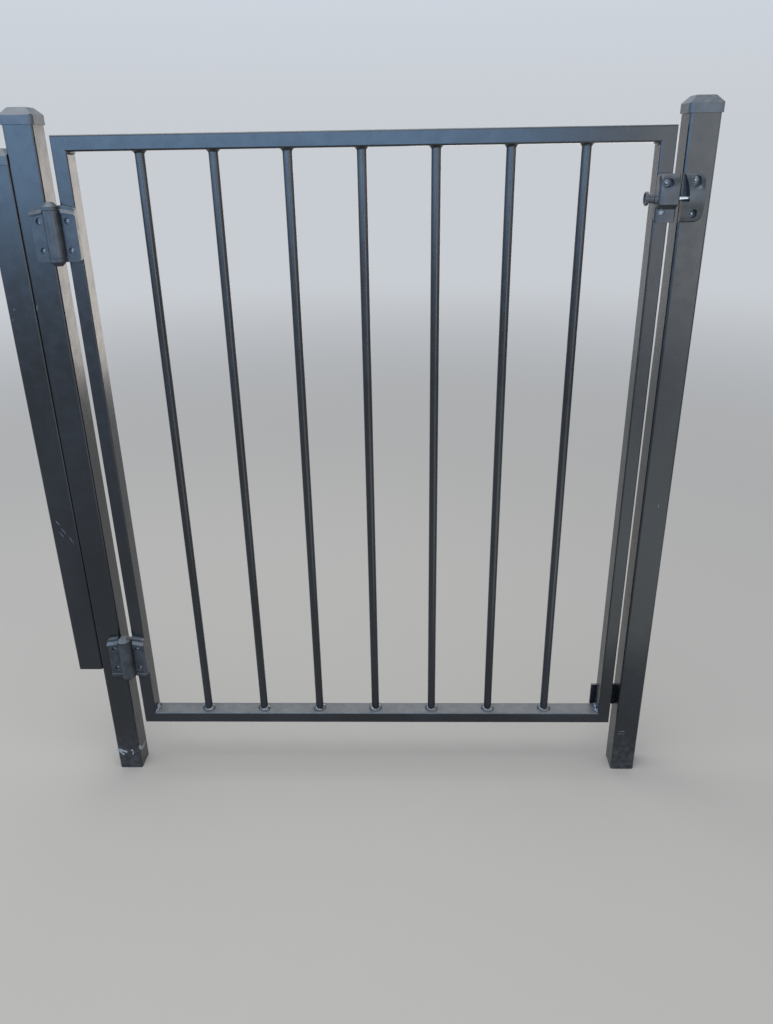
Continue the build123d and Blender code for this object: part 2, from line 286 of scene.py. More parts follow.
# The skin of a finish: long shallow waves of what is under it and the fine peel of the coat itself.
wave_stretch = (1, 1, 0.35)
skin, given, result = shader_group("coat_skin", {
    "Wave Length": 0.06, "Wave Depth": 0.00003, "Peel Length": 0.0015, "Peel Depth": 0.000004,
}, "Height")
wave_scale = reckon(skin, "DIVIDE", 1.0, given["Wave Length"])
peel_scale = reckon(skin, "DIVIDE", 1.0, given["Peel Length"])
wave = speckle(skin, stretched(skin, given["Vector"], wave_stretch), wave_scale, detail=1.0)
peel = speckle(skin, given["Vector"], peel_scale)
wave = reckon(skin, "MULTIPLY", wave, given["Wave Depth"])
peel = reckon(skin, "MULTIPLY", peel, given["Peel Depth"])
skin.links.new(reckon(skin, "ADD", wave, peel), result["Height"])

# Where a face looks up, a grey in patches with clean rain spots between them. On the painted steel it is
# settled dust, and in the mouldings it is partly dust and partly painted sky light on the tops of the
# fittings.
level_slopes = (0.35, 0.95)
patch_edges = (0.34, 0.66)
thinnest_patch = 0.55
dust_and_sky_grey_group, given, result = shader_group("settled_dust", {"Patch Length": 0.02, "Cover": 0.5}, "Mask")
normal = flow(dust_and_sky_grey_group, "ShaderNodeNewGeometry", {}, "Normal")
upward = flow(dust_and_sky_grey_group, "ShaderNodeSeparateXYZ", {0: normal}, "Z")
patch_scale = reckon(dust_and_sky_grey_group, "DIVIDE", 1.0, given["Patch Length"])
patches = speckle(dust_and_sky_grey_group, given["Vector"], patch_scale, detail=5.0, roughness=0.62)
patches = ease(dust_and_sky_grey_group, patches, *patch_edges, start=thinnest_patch)
dust_and_sky_grey_mask = reckon(dust_and_sky_grey_group, "MULTIPLY", ease(dust_and_sky_grey_group, upward, *level_slopes), patches, given["Cover"])
dust_and_sky_grey_group.links.new(dust_and_sky_grey_mask, result["Mask"])

# Fine rubs and scuffs, in lines that lie mostly one way.
rub_slant = (0.4, 0.25, 0.3)
rub_line_edges = (0.70, 0.78)
rub_place_scale = 9.0
rub_place_edges = (0.50, 0.66)
rub_inputs = {"Rub Length": 0.05, "Rub Width": 0.0009, "Amount": 0.5}
rub, given, result = shader_group("fine_rubs", rub_inputs, "Mask")
across = reckon(rub, "DIVIDE", 1.0, given["Rub Width"])
along = reckon(rub, "DIVIDE", 1.0, given["Rub Length"])
slant = flow(rub, "ShaderNodeMapping", {"Vector": given["Vector"], "Rotation": rub_slant})
rub_scale = flow(rub, "ShaderNodeCombineXYZ", {0: across, 1: across, 2: along})
lines = speckle(rub, stretched(rub, slant, rub_scale), 1.0, detail=1.0)
places = speckle(rub, given["Vector"], rub_place_scale, detail=3.0)
lines, places = ease(rub, lines, *rub_line_edges), ease(rub, places, *rub_place_edges)
rub.links.new(reckon(rub, "MULTIPLY", lines, places, given["Amount"]), result["Mask"])

paint, tree, shader = surface("black_paint", IOR=paint_ior)
place = on_object(tree)
dust_and_sky_grey_mask = laid(tree, dust_and_sky_grey_group, place, Patch_Length=0.018, Cover=0.36)
rubs = laid(tree, rub, place, Amount=0.4)
height = flow(tree, "ShaderNodeSeparateXYZ", {0: place}, "Z")
low = ease(tree, height, ground_dust_height, 0.0)
spatter = ease(tree, speckle(tree, place, spatter_scale, detail=6.0, roughness=0.68), *spatter_spread)
ground_dust = reckon(tree, "MULTIPLY", low, spatter, ground_dust_share)
all_dust = reckon(tree, "MAXIMUM", dust_and_sky_grey_mask, ground_dust)
cloud = speckle(tree, stretched(tree, place, cloud_stretch), 1.0, detail=4.0)
cloud = ease(tree, cloud, *noise_spread)
shade = tint(tree, cloud, paint_colour, faded_paint_colour)
shade = tint(tree, rubs, shade, rub_colour)
shade = tint(tree, all_dust, shade, dust_and_sky_grey_colour)
gloss = ease(tree, speckle(tree, place, gloss_scale, detail=4.0), *gloss_spread, *paint_roughness)
dulled = reckon(tree, "MULTIPLY", all_dust, dust_roughness)
rubbed = reckon(tree, "MULTIPLY", rubs, rub_roughness)
feed(tree, shader, Base_Color=shade, Roughness=reckon(tree, "ADD", gloss, dulled, rubbed))
emboss(tree, shader, laid(tree, skin, place))


def finish_nodes(names, material):
    """Gives CAD nodes a better material in their own slots."""
    for name in names:
        for slot in nodes[name].material_slots:
            slot.material = material


finish_nodes(("hinge_post", "side_post", "latch_post"), paint)

# Splashes of cement
# When the hinge post was set upright, wet cement splashed its front and the side by the gate. It dried
# in small pale crusts a couple of millimetres thick. Each has its place across the face and up it.
splash_size = 0.0026
crust_depth = 0.0009
crust_scale = 480.0
lump_sizes = (0.45, 1.3)
# The cement is coloured darker than its pale crust: painted shade for the shade at the foot of the post.
cement_colours_with_painted_shade = ((0.14, 0.134, 0.122, 1), (0.34, 0.327, 0.30, 1))
cement_roughness = 0.92
cement_grain_scale, cement_grain_depth = 900.0, 0.0004
front_splashes = [
    (-0.0232, 0.0492), (-0.0212, 0.0500), (-0.0190, 0.0486), (-0.0172, 0.0494), (-0.0152, 0.0478),
    (-0.0130, 0.0482), (-0.0110, 0.0462), (-0.0085, 0.0452), (-0.0060, 0.0440), (-0.0205, 0.0462),
    (-0.0182, 0.0436), (-0.0170, 0.0405), (-0.0148, 0.0392), (-0.0128, 0.0372), (-0.0140, 0.0440),
    (0.0078, 0.0478), (0.0092, 0.0426), (0.0086, 0.0390),
]
side_splashes = [
    (-0.0238, 0.0545), (-0.0222, 0.0512), (-0.0214, 0.0560), (-0.0198, 0.0496), (-0.0190, 0.0536),
    (-0.0174, 0.0472), (-0.0166, 0.0508), (-0.0150, 0.0450), (-0.0140, 0.0486), (-0.0126, 0.0430),
    (-0.0116, 0.0460), (-0.0100, 0.0412), (-0.0092, 0.0440), (-0.0066, 0.0408), (-0.0036, 0.0412),
    (-0.0006, 0.0420), (0.0026, 0.0424), (0.0058, 0.0432), (0.0090, 0.0428), (0.0120, 0.0434),
]
post_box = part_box("hinge_post")
front_points = [(x, post_box[0].y, z) for x, z in front_splashes]
side_points = [(post_box[1].x, y, z) for y, z in side_splashes]
crease_angle = math.radians(50)
seed_step = 3.7


def tree_for_pieces(name, inputs):
    """An empty geometry tree with named inputs and a finish, and its two end nodes."""
    tree = bpy.data.node_groups.new(name, "GeometryNodeTree")
    tree.interface.new_socket("Geometry", in_out="INPUT", socket_type="NodeSocketGeometry")
    for label, kind in inputs.items():
        tree.interface.new_socket(label, in_out="INPUT", socket_type="NodeSocket" + kind)
    tree.interface.new_socket("Finish", in_out="INPUT", socket_type="NodeSocketMaterial")
    tree.interface.new_socket("Geometry", in_out="OUTPUT", socket_type="NodeSocketGeometry")
    return tree, tree.nodes.new("NodeGroupInput").outputs, tree.nodes.new("NodeGroupOutput").inputs


def close_tree(tree, geometry, given, result):
    """Makes instances real, smooths the faces between sharp edges and sets the finish."""
    real = flow(tree, "GeometryNodeRealizeInstances", {0: geometry})
    smooth = flow(tree, "GeometryNodeSetShadeSmooth", {0: real})
    angle = flow(tree, "GeometryNodeInputMeshEdgeAngle", {}, "Unsigned Angle")
    sharp = reckon(tree, "GREATER_THAN", angle, crease_angle)
    sockets = {0: smooth, "Selection": sharp, "Shade Smooth": False}
    creased = flow(tree, "GeometryNodeSetShadeSmooth", sockets, domain="EDGE")
    finished = flow(tree, "GeometryNodeSetMaterial", {0: creased, "Material": given["Finish"]})
    tree.links.new(finished, result["Geometry"])


def position(tree):
    """Where each point of a mesh or line lies."""
    return flow(tree, "GeometryNodeInputPosition", {})


def lumpy(tree, geometry, scale, depth, seed):
    """Moves each point of a mesh in or out by a noise of its place."""
    shift = reckon(tree, "MULTIPLY", seed, seed_step)
    place = flow(tree, "ShaderNodeVectorMath", {0: position(tree), 1: shift}, operation="ADD")
    value = reckon(tree, "MULTIPLY", reckon(tree, "SUBTRACT", speckle(tree, place, scale), 0.5), depth, 2.0)
    normal = flow(tree, "GeometryNodeInputNormal", {})
    offset = flow(tree, "ShaderNodeVectorMath", {0: normal, "Scale": value}, operation="SCALE")
    return flow(tree, "GeometryNodeSetPosition", {0: geometry, "Offset": offset})


def random_value(tree, low, high, seed):
    """A random number for each point."""
    return flow(tree, "FunctionNodeRandomValue", {2: low, 3: high, "Seed": seed}, 1, data_type="FLOAT")


def grow(name, points, edges, tree, body, slot=None, **sizes):
    """Runs a geometry tree on points or lines and keeps the result as a plain mesh on a body."""
    base = bpy.data.meshes.new(name + "_base")
    base.from_pydata(points, edges, [])
    piece = bpy.data.objects.new(name, base)
    scene.collection.objects.link(piece)
    growth = piece.modifiers.new("growth", "NODES")
    growth.node_group = tree
    for item in tree.interface.items_tree:
        label = item.name.replace(" ", "_")
        if item.in_out == "INPUT" and label in sizes:
            growth[item.identifier] = sizes[label]
    grown = bpy.data.meshes.new_from_object(piece.evaluated_get(bpy.context.evaluated_depsgraph_get()))
    piece.modifiers.remove(growth)
    piece.data = grown
    grown.name = name
    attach(piece, body)


lumps, given, result = tree_for_pieces("cement_lumps", {
    "Lump Size": "Float", "Flatness": "Vector", "Roughness": "Float", "Seed": "Int",
})
ball = flow(lumps, "GeometryNodeMeshIcoSphere", {"Radius": 1.0, "Subdivisions": 4}, "Mesh")
size = reckon(lumps, "MULTIPLY", random_value(lumps, *lump_sizes, given["Seed"]), given["Lump Size"])
flat = flow(lumps, "ShaderNodeVectorMath", {0: given["Flatness"], "Scale": size}, operation="SCALE")
sockets = {"Points": given["Geometry"], "Instance": ball, "Scale": flat}
set_down = flow(lumps, "GeometryNodeInstanceOnPoints", sockets)
set_down = flow(lumps, "GeometryNodeRealizeInstances", {0: set_down})
set_down = lumpy(lumps, set_down, crust_scale, given["Roughness"], given["Seed"])
close_tree(lumps, set_down, given, result)

# Its darkness is painted shade, not the colour of the cement itself.
cement, tree, shader = surface("dried_cement", Roughness=cement_roughness)
grain = speckle(tree, on_object(tree), cement_grain_scale, detail=4.0, roughness=0.65)
feed(tree, shader, Base_Color=tint(tree, ease(tree, grain, *noise_spread), *cement_colours_with_painted_shade))
emboss(tree, shader, reckon(tree, "MULTIPLY", grain, cement_grain_depth))

grow("cement_on_post_front", front_points, [], lumps, "posts", Lump_Size=splash_size,
     Flatness=(1.0, 0.42, 0.9), Roughness=crust_depth, Seed=3, Finish=cement)
grow("cement_on_post_side", side_points, [], lumps, "posts", Lump_Size=splash_size,
     Flatness=(0.42, 1.0, 0.9), Roughness=crust_depth, Seed=8, Finish=cement)

# Nicks in the paint
# Knocks in handling took slivers of paint off the posts down to the pale primer, some in twos. Each
# runs from its first point to its second on the posts' front face, and stands hardly proud of it.
nick_width = 0.0009
nick_proud_share = 0.16
nick_tip_share = 0.06
nick_steps, nick_sides = 14, 10
ragged_scale = 900.0
primer_colours = ((0.085, 0.088, 0.09, 1), (0.25, 0.255, 0.26, 1))
primer_roughness = 0.7
primer_grain_scale = 700.0
post_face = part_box("hinge_post")[0].y
nick_ends = [
    ((-0.0626, 1.0216), (-0.0632, 1.0172)), ((-0.0682, 1.0036), (-0.0686, 1.0002)),
    ((-0.0204, 1.0290), (-0.0226, 1.0152)), ((-0.0640, 0.6142), (-0.0560, 0.6010)),
    ((-0.0560, 0.5980), (-0.0470, 0.5820)), ((-0.0430, 0.5790), (-0.0345, 0.5600)),
    ((-0.0600, 0.5890), (-0.0530, 0.5760)), ((1.0790, 0.1031), (1.0990, 0.1033)),
    ((1.0800, 0.0965), (1.0975, 0.0964)), ((1.1040, 0.6420), (1.1060, 0.6330)),
]
nick_points = [(x, post_face, z) for ends in nick_ends for x, z in ends]
nick_lines = [(i, i + 1) for i in range(0, len(nick_points), 2)]


def sine(tree, angle, operation="SINE"):
    """The sine of an angle, or its cosine."""
    return flow(tree, "ShaderNodeMath", {0: angle}, operation=operation)


nicks, given, result = tree_for_pieces("paint_nicks", {
    "Nick Width": "Float", "Face": "Float", "Proud": "Float",
})
curve = flow(nicks, "GeometryNodeMeshToCurve", {0: given["Geometry"]})
curve = flow(nicks, "GeometryNodeResampleCurve", {0: curve, "Count": nick_steps})
along = flow(nicks, "GeometryNodeSplineParameter", {}, "Factor")
taper = sine(nicks, reckon(nicks, "MULTIPLY", along, math.pi))
ragged = speckle(nicks, position(nicks), ragged_scale)
taper = reckon(nicks, "MAXIMUM", reckon(nicks, "MULTIPLY", taper, ragged, 2.0), nick_tip_share)
rim = reckon(nicks, "MULTIPLY", given["Nick Width"], 0.5)
circle = flow(nicks, "GeometryNodeCurvePrimitiveCircle", {"Resolution": nick_sides, "Radius": rim})
sockets = {"Curve": curve, "Profile Curve": circle, "Scale": taper, "Fill Caps": True}
sliver = flow(nicks, "GeometryNodeCurveToMesh", sockets)
place = wire(nicks, "ShaderNodeSeparateXYZ", {0: position(nicks)}).outputs
depth = reckon(nicks, "MULTIPLY", reckon(nicks, "SUBTRACT", place["Y"], given["Face"]), given["Proud"])
sockets = {0: place["X"], 1: reckon(nicks, "ADD", depth, given["Face"]), 2: place["Z"]}
pressed = flow(nicks, "ShaderNodeCombineXYZ", sockets)
sliver = flow(nicks, "GeometryNodeSetPosition", {0: sliver, "Position": pressed})
close_tree(nicks, sliver, given, result)

primer, tree, shader = surface("bare_primer", Roughness=primer_roughness)
grain = speckle(tree, on_object(tree), primer_grain_scale, detail=3.0)
grain = ease(tree, grain, *noise_spread)
feed(tree, shader, Base_Color=tint(tree, grain, *primer_colours))
grow("nicks_in_post_paint", nick_points, nick_lines, nicks, "posts", "black_paint",
     Nick_Width=nick_width, Face=post_face, Proud=nick_proud_share, Finish=primer)

# Gate stop
# A short flat bar welded across the inner side of the latch post catches the stile's foot from behind.
# A bead runs along its top edge and its bottom edge, painted over with the post.
finish_nodes(("gate_stop",), paint)
stop_bead = 0.0026
stop_low, stop_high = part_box("gate_stop")
stop_lines = [(stop_high.x, y, z) for z in (stop_low.z, stop_high.z) for y in (stop_low.y, stop_high.y)]

# Post caps
# Black caps moulded in one piece with a low four sided crown, pushed over the ends of the posts.
# The side post's cap is cut level with its post where its neighbours leave no room.
moulding_ior = 1.48
moulding_dust_roughness = 0.5
mottle_scale = 60.0
sheen_scale, sheen_spread = 120.0, (0.3, 0.7)
softened, given, result = shader_group("softened_edges", {"Radius": 0.0006}, "Normal", "NodeSocketVector")
bevel = flow(softened, "ShaderNodeBevel", {"Radius": given["Radius"]}, samples=6)
softened.links.new(bevel, result["Normal"])


def moulding(name, colour, worn_colour, roughness, edge, grain_length, grain_depth, dust_cover):
    """A black moulded plastic: a fine grain, softened edges, a greyer mottle, and grey on faces that look up
    that is partly dust and partly painted sky light.
    """
    material, tree, shader = surface(name, IOR=moulding_ior)
    place = on_object(tree)
    dust_and_sky_grey_mask = laid(tree, dust_and_sky_grey_group, place, Patch_Length=0.008, Cover=dust_cover)
    mottle = speckle(tree, place, mottle_scale, detail=4.0, roughness=0.6)
    mottle = ease(tree, mottle, *noise_spread)
    shade = tint(tree, mottle, colour, worn_colour)
    shade = tint(tree, dust_and_sky_grey_mask, shade, dust_and_sky_grey_colour)
    gloss = ease(tree, speckle(tree, place, sheen_scale, detail=3.0), *sheen_spread, *roughness)
    gloss = reckon(tree, "ADD", gloss, reckon(tree, "MULTIPLY", dust_and_sky_grey_mask, moulding_dust_roughness))
    feed(tree, shader, Base_Color=shade, Roughness=gloss)
    height = laid(tree, skin, place, Wave_Length=0.02, Wave_Depth=0.00002,
                  Peel_Length=grain_length, Peel_Depth=grain_depth)
    emboss(tree, shader, height, Normal=laid(tree, softened, place, Radius=edge))
    return material


cap_plastic = moulding("moulded_caps", (0.022, 0.025, 0.029, 1), (0.046, 0.051, 0.057, 1), (0.30, 0.40),
                       edge=0.0008, grain_length=0.0009, grain_depth=0.000005, dust_cover=0.21)
finish_nodes(cap_names, cap_plastic)

# Frame of the leaf
# Four lengths of rolled box section, mitred at the corners, welded and ground flush on the face.
# It is painted with the same black as the posts.
finish_nodes(("hinge_stile", "latch_stile", "top_rail", "bottom_rail"), paint)

# Welds inside the corners
# A bead is run from front to back where each rail meets its stile. Those at the top were dressed
# smooth, and those at the foot were left lumpy, with the paint thick and wet-looking over them.
top_bead = 0.0048
foot_bead = 0.0056
bead_set_in = 0.0025
bead_step, bead_sides = 0.0006, 28
bead_end_share, bead_end_sharpness = 0.02, 0.28
bead_lump_scale = 260.0
weld_coat = {"Coat_Weight": 1.0, "Coat_Roughness": 0.07, "Coat_IOR": 1.6}
weld_roughness = (0.14, 0.26)
grime_scale, grime_spread = 240.0, (0.40, 0.70)
rail_low, rail_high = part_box("bottom_rail"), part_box("top_rail")
inner_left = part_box("hinge_stile")[1].x
inner_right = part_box("latch_stile")[0].x
bead_front = rail_low[0].y + bead_set_in
bead_back = rail_low[1].y - bead_set_in

beads, given, result = tree_for_pieces("laid_beads", {
    "Bead Radius": "Float", "Ripple Length": "Float", "Ripple Depth": "Float", "Lumpiness": "Float",
    "Seed": "Int",
})
curve = flow(beads, "GeometryNodeMeshToCurve", {0: given["Geometry"]})
curve = flow(beads, "GeometryNodeResampleCurve", {0: curve, "Length": bead_step}, mode="LENGTH")
run = beads.nodes.new("GeometryNodeSplineParameter").outputs
ripples = reckon(beads, "DIVIDE", run["Length"], given["Ripple Length"])
ripple = sine(beads, reckon(beads, "MULTIPLY", ripples, math.tau))
ripple = reckon(beads, "ADD", reckon(beads, "MULTIPLY", ripple, given["Ripple Depth"]), 1.0)
ends = sine(beads, reckon(beads, "MULTIPLY", run["Factor"], math.pi))
ends = reckon(beads, "POWER", reckon(beads, "MAXIMUM", ends, bead_end_share), bead_end_sharpness)
swell = reckon(beads, "MULTIPLY", ripple, ends)
sockets = {"Resolution": bead_sides, "Radius": given["Bead Radius"]}
circle = flow(beads, "GeometryNodeCurvePrimitiveCircle", sockets)
sockets = {"Curve": curve, "Profile Curve": circle, "Scale": swell, "Fill Caps": True}
bead = flow(beads, "GeometryNodeCurveToMesh", sockets)
bead = lumpy(beads, bead, bead_lump_scale, given["Lumpiness"], given["Seed"])
close_tree(beads, bead, given, result)

weld_paint, tree, shader = surface("paint_on_welds", IOR=paint_ior, **weld_coat)
place = on_object(tree)
grime = speckle(tree, place, grime_scale, detail=4.0, roughness=0.6)
grime = ease(tree, grime, *grime_spread)
feed(tree, shader, Base_Color=tint(tree, grime, paint_colour, faded_paint_colour),
     Roughness=ease(tree, grime, 0.0, 1.0, *weld_roughness))
emboss(tree, shader, laid(tree, skin, place, Wave_Length=0.003, Wave_Depth=0.00008,
                          Peel_Length=0.0008, Peel_Depth=0.000008))


def corner_lines(z):
    """The two inside corners at a height, as lines from the front of the frame to its back."""
    ends = [(x, y, z) for x in (inner_left, inner_right) for y in (bead_front, bead_back)]
    return ends, [(0, 1), (2, 3)]


grow("top_corner_welds", *corner_lines(rail_high[0].z), beads, "leaf", "black_paint", Bead_Radius=top_bead,
     Ripple_Length=0.0035, Ripple_Depth=0.03, Lumpiness=0.0003, Seed=2, Finish=paint)
grow("foot_corner_welds", *corner_lines(rail_low[1].z), beads, "leaf", "black_paint", Bead_Radius=foot_bead,
     Ripple_Length=0.0058, Ripple_Depth=0.26, Lumpiness=0.0024, Seed=5, Finish=weld_paint)
grow("stop_welds", stop_lines, [(0, 1), (2, 3)], beads, "posts", "black_paint", Bead_Radius=stop_bead,
     Ripple_Length=0.003, Ripple_Depth=0.08, Lumpiness=0.0006, Seed=7, Finish=weld_paint)

# Bars
# Seven lengths of 16 mm round bar stand between the rails, evenly spaced, in the same black paint.
# Each stands square to the rails, in the middle of their depth.
bar_names = sorted(name for name in nodes if name.startswith("bar_"))
finish_nodes(bar_names, paint)

# Welds round the bars
# Each bar is welded to both rails. At the top the fillet sweeps out wide and smooth, and at the foot
# it is a full round collar with a lump on either side, where the rod started and stopped.
bar_radius = 0.008
top_weld_out, top_weld_down, top_weld_fullness = 0.0058, 0.0066, 0.10
foot_weld_out, foot_weld_up, foot_weld_fullness = 0.0042, 0.0046, 0.92
tuck = -0.0006
sweep_points = 9
ring_sides = 72
ring_turn = 0.35

rings, given, result = tree_for_pieces("ring_welds", {
    "Bar Radius": "Float", "Leg Out": "Float", "Leg Along": "Float", "Fullness": "Float",
    "Side Swell": "Float", "Swell Sharpness": "Float", "Lumpiness": "Float", "Lump Scale": "Float",
    "Turn": "Float", "Seed": "Int",
})
index = flow(rings, "GeometryNodeInputIndex", {})
swept = reckon(rings, "MINIMUM", reckon(rings, "DIVIDE", index, sweep_points - 1.0), 1.0)
unswept = reckon(rings, "SUBTRACT", 1.0, swept)
between = reckon(rings, "MULTIPLY", swept, unswept, 2.0, given["Fullness"])
in_corner = reckon(rings, "GREATER_THAN", index, sweep_points - 0.5)
legs = []
for leg, reached in (("Leg Out", unswept), ("Leg Along", swept)):
    share = reckon(rings, "ADD", reckon(rings, "MULTIPLY", reached, reached), between)
    place = reckon(rings, "ADD", reckon(rings, "MULTIPLY", share, given[leg]), tuck)
    legs.append(flow(rings, "ShaderNodeMix", {0: in_corner, 2: place, 3: tuck}))
section = flow(rings, "GeometryNodeCurvePrimitiveCircle", {"Resolution": sweep_points + 1})
section_place = flow(rings, "ShaderNodeCombineXYZ", {0: legs[0], 1: legs[1]})
section = flow(rings, "GeometryNodeSetPosition", {0: section, "Position": section_place})
around = flow(rings, "GeometryNodeSplineParameter", {}, "Factor")
side = sine(rings, reckon(rings, "MULTIPLY", around, math.tau), "COSINE")
side = reckon(rings, "POWER", reckon(rings, "ABSOLUTE", side, 0.0), given["Swell Sharpness"])
scale = reckon(rings, "ADD", reckon(rings, "MULTIPLY", side, given["Side Swell"]), 1.0)
sockets = {"Resolution": ring_sides, "Radius": given["Bar Radius"]}
path = flow(rings, "GeometryNodeCurvePrimitiveCircle", sockets)
ring = flow(rings, "GeometryNodeCurveToMesh", {"Curve": path, "Profile Curve": section, "Scale": scale})
spin = random_value(rings, -ring_turn, ring_turn, given["Seed"])
turn = flow(rings, "ShaderNodeCombineXYZ", {0: given["Turn"], 2: spin})
sockets = {"Points": given["Geometry"], "Instance": ring, "Rotation": turn}
placed = flow(rings, "GeometryNodeInstanceOnPoints", sockets)
placed = flow(rings, "GeometryNodeRealizeInstances", {0: placed})
placed = lumpy(rings, placed, given["Lump Scale"], given["Lumpiness"], given["Seed"])
close_tree(rings, placed, given, result)

bar_axes = [(sum(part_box(name), Vector()) / 2) for name in bar_names]
top_joints = [(axis.x, axis.y, rail_high[0].z) for axis in bar_axes]
foot_joints = [(axis.x, axis.y, rail_low[1].z) for axis in bar_axes]
grow("welds_at_bar_tops", top_joints, [], rings, "leaf", "black_paint", Bar_Radius=bar_radius,
     Leg_Out=top_weld_out, Leg_Along=top_weld_down, Fullness=top_weld_fullness, Side_Swell=0.55,
     Swell_Sharpness=2.0, Lumpiness=0.0003, Lump_Scale=160.0, Turn=0.0, Seed=4, Finish=paint)
grow("welds_at_bar_feet", foot_joints, [], rings, "leaf", "black_paint", Bar_Radius=bar_radius,
     Leg_Out=foot_weld_out, Leg_Along=foot_weld_up, Fullness=foot_weld_fullness, Side_Swell=0.75,
     Swell_Sharpness=5.0, Lumpiness=0.0010, Lump_Scale=300.0, Turn=math.pi, Seed=9, Finish=weld_paint)

# Hinges
# Two pairs of satin black mouldings of glass filled nylon turn about steel pins. A sloping hood on
# each leaf sheds water over its two screws.
# On the fittings, the grey on faces that look up is painted sky light, laid on through the dust mask.
fitting_plastic = moulding("black_fittings", (0.015, 0.016, 0.018, 1), (0.034, 0.037, 0.041, 1), (0.28, 0.40),
                           edge=0.0007, grain_length=0.0005, grain_depth=0.000006, dust_cover=0.36)
hinge_leaves = [name for name in nodes if name.endswith(("hinge_post_leaf", "hinge_gate_leaf"))]
finish_nodes(hinge_leaves, fitting_plastic)

# The root of each moving leaf is moulded close round the back of the barrel and closes the gap there.
barrel_radius = 0.0135
root_clearance = 0.0006
root_front, root_back = 0.0040, 0.0138
root_right = 0.0157
root_half_height = 0.0375
root_turn = math.radians(72)
root_crease_angle = math.radians(30)
arc_steps = 14
arc_radius = barrel_radius + root_clearance
first_turn = math.asin(root_front / arc_radius)
arc_turns = [first_turn + (root_turn - first_turn) * step / arc_steps for step in range(arc_steps + 1)]
root_outline = [(arc_radius * math.cos(turn), arc_radius * math.sin(turn)) for turn in arc_turns]
root_outline += [(root_outline[-1][0], root_back), (root_right, root_back), (root_right, root_front)]


def hinge_root(which):
    """The concave root of a moving hinge leaf, beside its plate and behind the barrel."""
    low_corner, high_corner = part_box(f"{which}_hinge_pin")
    axis = (low_corner + high_corner) / 2
    foot = axis.z - root_half_height
    shape = bmesh.new()
    foot_ring = [shape.verts.new((axis.x + x, axis.y + y, foot)) for x, y in root_outline]
    foot_face = shape.faces.new(foot_ring)
    raised = bmesh.ops.extrude_face_region(shape, geom=[foot_face])["geom"]
    risen = [item for item in raised if isinstance(item, bmesh.types.BMVert)]
    bmesh.ops.translate(shape, verts=risen, vec=(0, 0, 2 * root_half_height))
    bmesh.ops.recalc_face_normals(shape, faces=shape.faces)
    for face in shape.faces:
        face.smooth = True
    for edge in shape.edges:
        edge.smooth = edge.calc_face_angle() < root_crease_angle
    mesh = bpy.data.meshes.new(f"{which}_hinge_root")
    shape.to_mesh(mesh)
    shape.free()
    mesh.materials.append(fitting_plastic)
    root = bpy.data.objects.new(f"{which}_hinge_root", mesh)
    scene.collection.objects.link(root)
    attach(root, "leaf")


for which in ("upper", "lower"):
    hinge_root(which)


bloom_scale = 420.0
zinc_roughness = (0.30, 0.50)


def plated_zinc(name, bright, bloomed):
    """Zinc plating that has clouded over in patches."""
    material, tree, shader = surface(name, Metallic=1.0)
    place = on_object(tree)
    bloom = speckle(tree, place, bloom_scale, detail=4.0, roughness=0.6)
    bloom = ease(tree, bloom, *noise_spread)
    feed(tree, shader, Base_Color=tint(tree, bloom, bright, bloomed),
         Roughness=ease(tree, bloom, 0.0, 1.0, *zinc_roughness))
    emboss(tree, shader, laid(tree, skin, place, Wave_Length=0.004, Wave_Depth=0.00001,
                              Peel_Length=0.0004, Peel_Depth=0.000003))
    return material


zinc = plated_zinc("zinc_steel", (0.47, 0.48, 0.49, 1), (0.31, 0.32, 0.33, 1))
finish_nodes([name for name in nodes if name.endswith("_pin")], zinc)

# Screws
# Zinc plated pan heads with a cross recess, each on a thin flange, in two sizes. The smaller hold the
# hinge leaves to post and stile, sunk in round seats, two to a leaf. The larger hold the latch.
# The screws' zinc is darker than bright zinc: painted shade for the shade of the seats and recesses they sit
# in.
shade_darkened_screw_zinc = plated_zinc("weathered_zinc", (0.29, 0.30, 0.31, 1), (0.15, 0.155, 0.16, 1))
small_head, large_head = 0.0027, 0.0036
head_height = 0.0027
head_sides = 40
dome_fall, dome_sharpness = 0.5, 4.0
flange_overhang, flange_height = 0.0006, 0.0007
cross_length_share = 1.2
cross_width, cross_depth = 0.0013, 0.0019
hinge_seat_depth = 0.004
hinge_plate_depth = 0.010
hinge_screw_places = ((0.013, 0.020), (0.013, -0.027), (0.061, 0.020), (0.061, -0.027))

screws, given, result = tree_for_pieces("pan_head_screws", {
    "Head Radius": "Float", "Head Height": "Float", "Flange Radius": "Float", "Flange Height": "Float",
    "Cross Length": "Float", "Cross Width": "Float", "Cross Depth": "Float", "Seed": "Int",
})


def disc(tree, radius, height, rings_out, rings_up):
    """A round slug that stands on z = 0."""
    sockets = {"Vertices": head_sides, "Side Segments": rings_up, "Fill Segments": rings_out,
               "Radius": radius, "Depth": height}
    slug = flow(tree, "GeometryNodeMeshCylinder", sockets, "Mesh")
    lift = flow(tree, "ShaderNodeCombineXYZ", {2: reckon(tree, "MULTIPLY", height, 0.5)})
    return flow(tree, "GeometryNodeTransform", {0: slug, "Translation": lift})


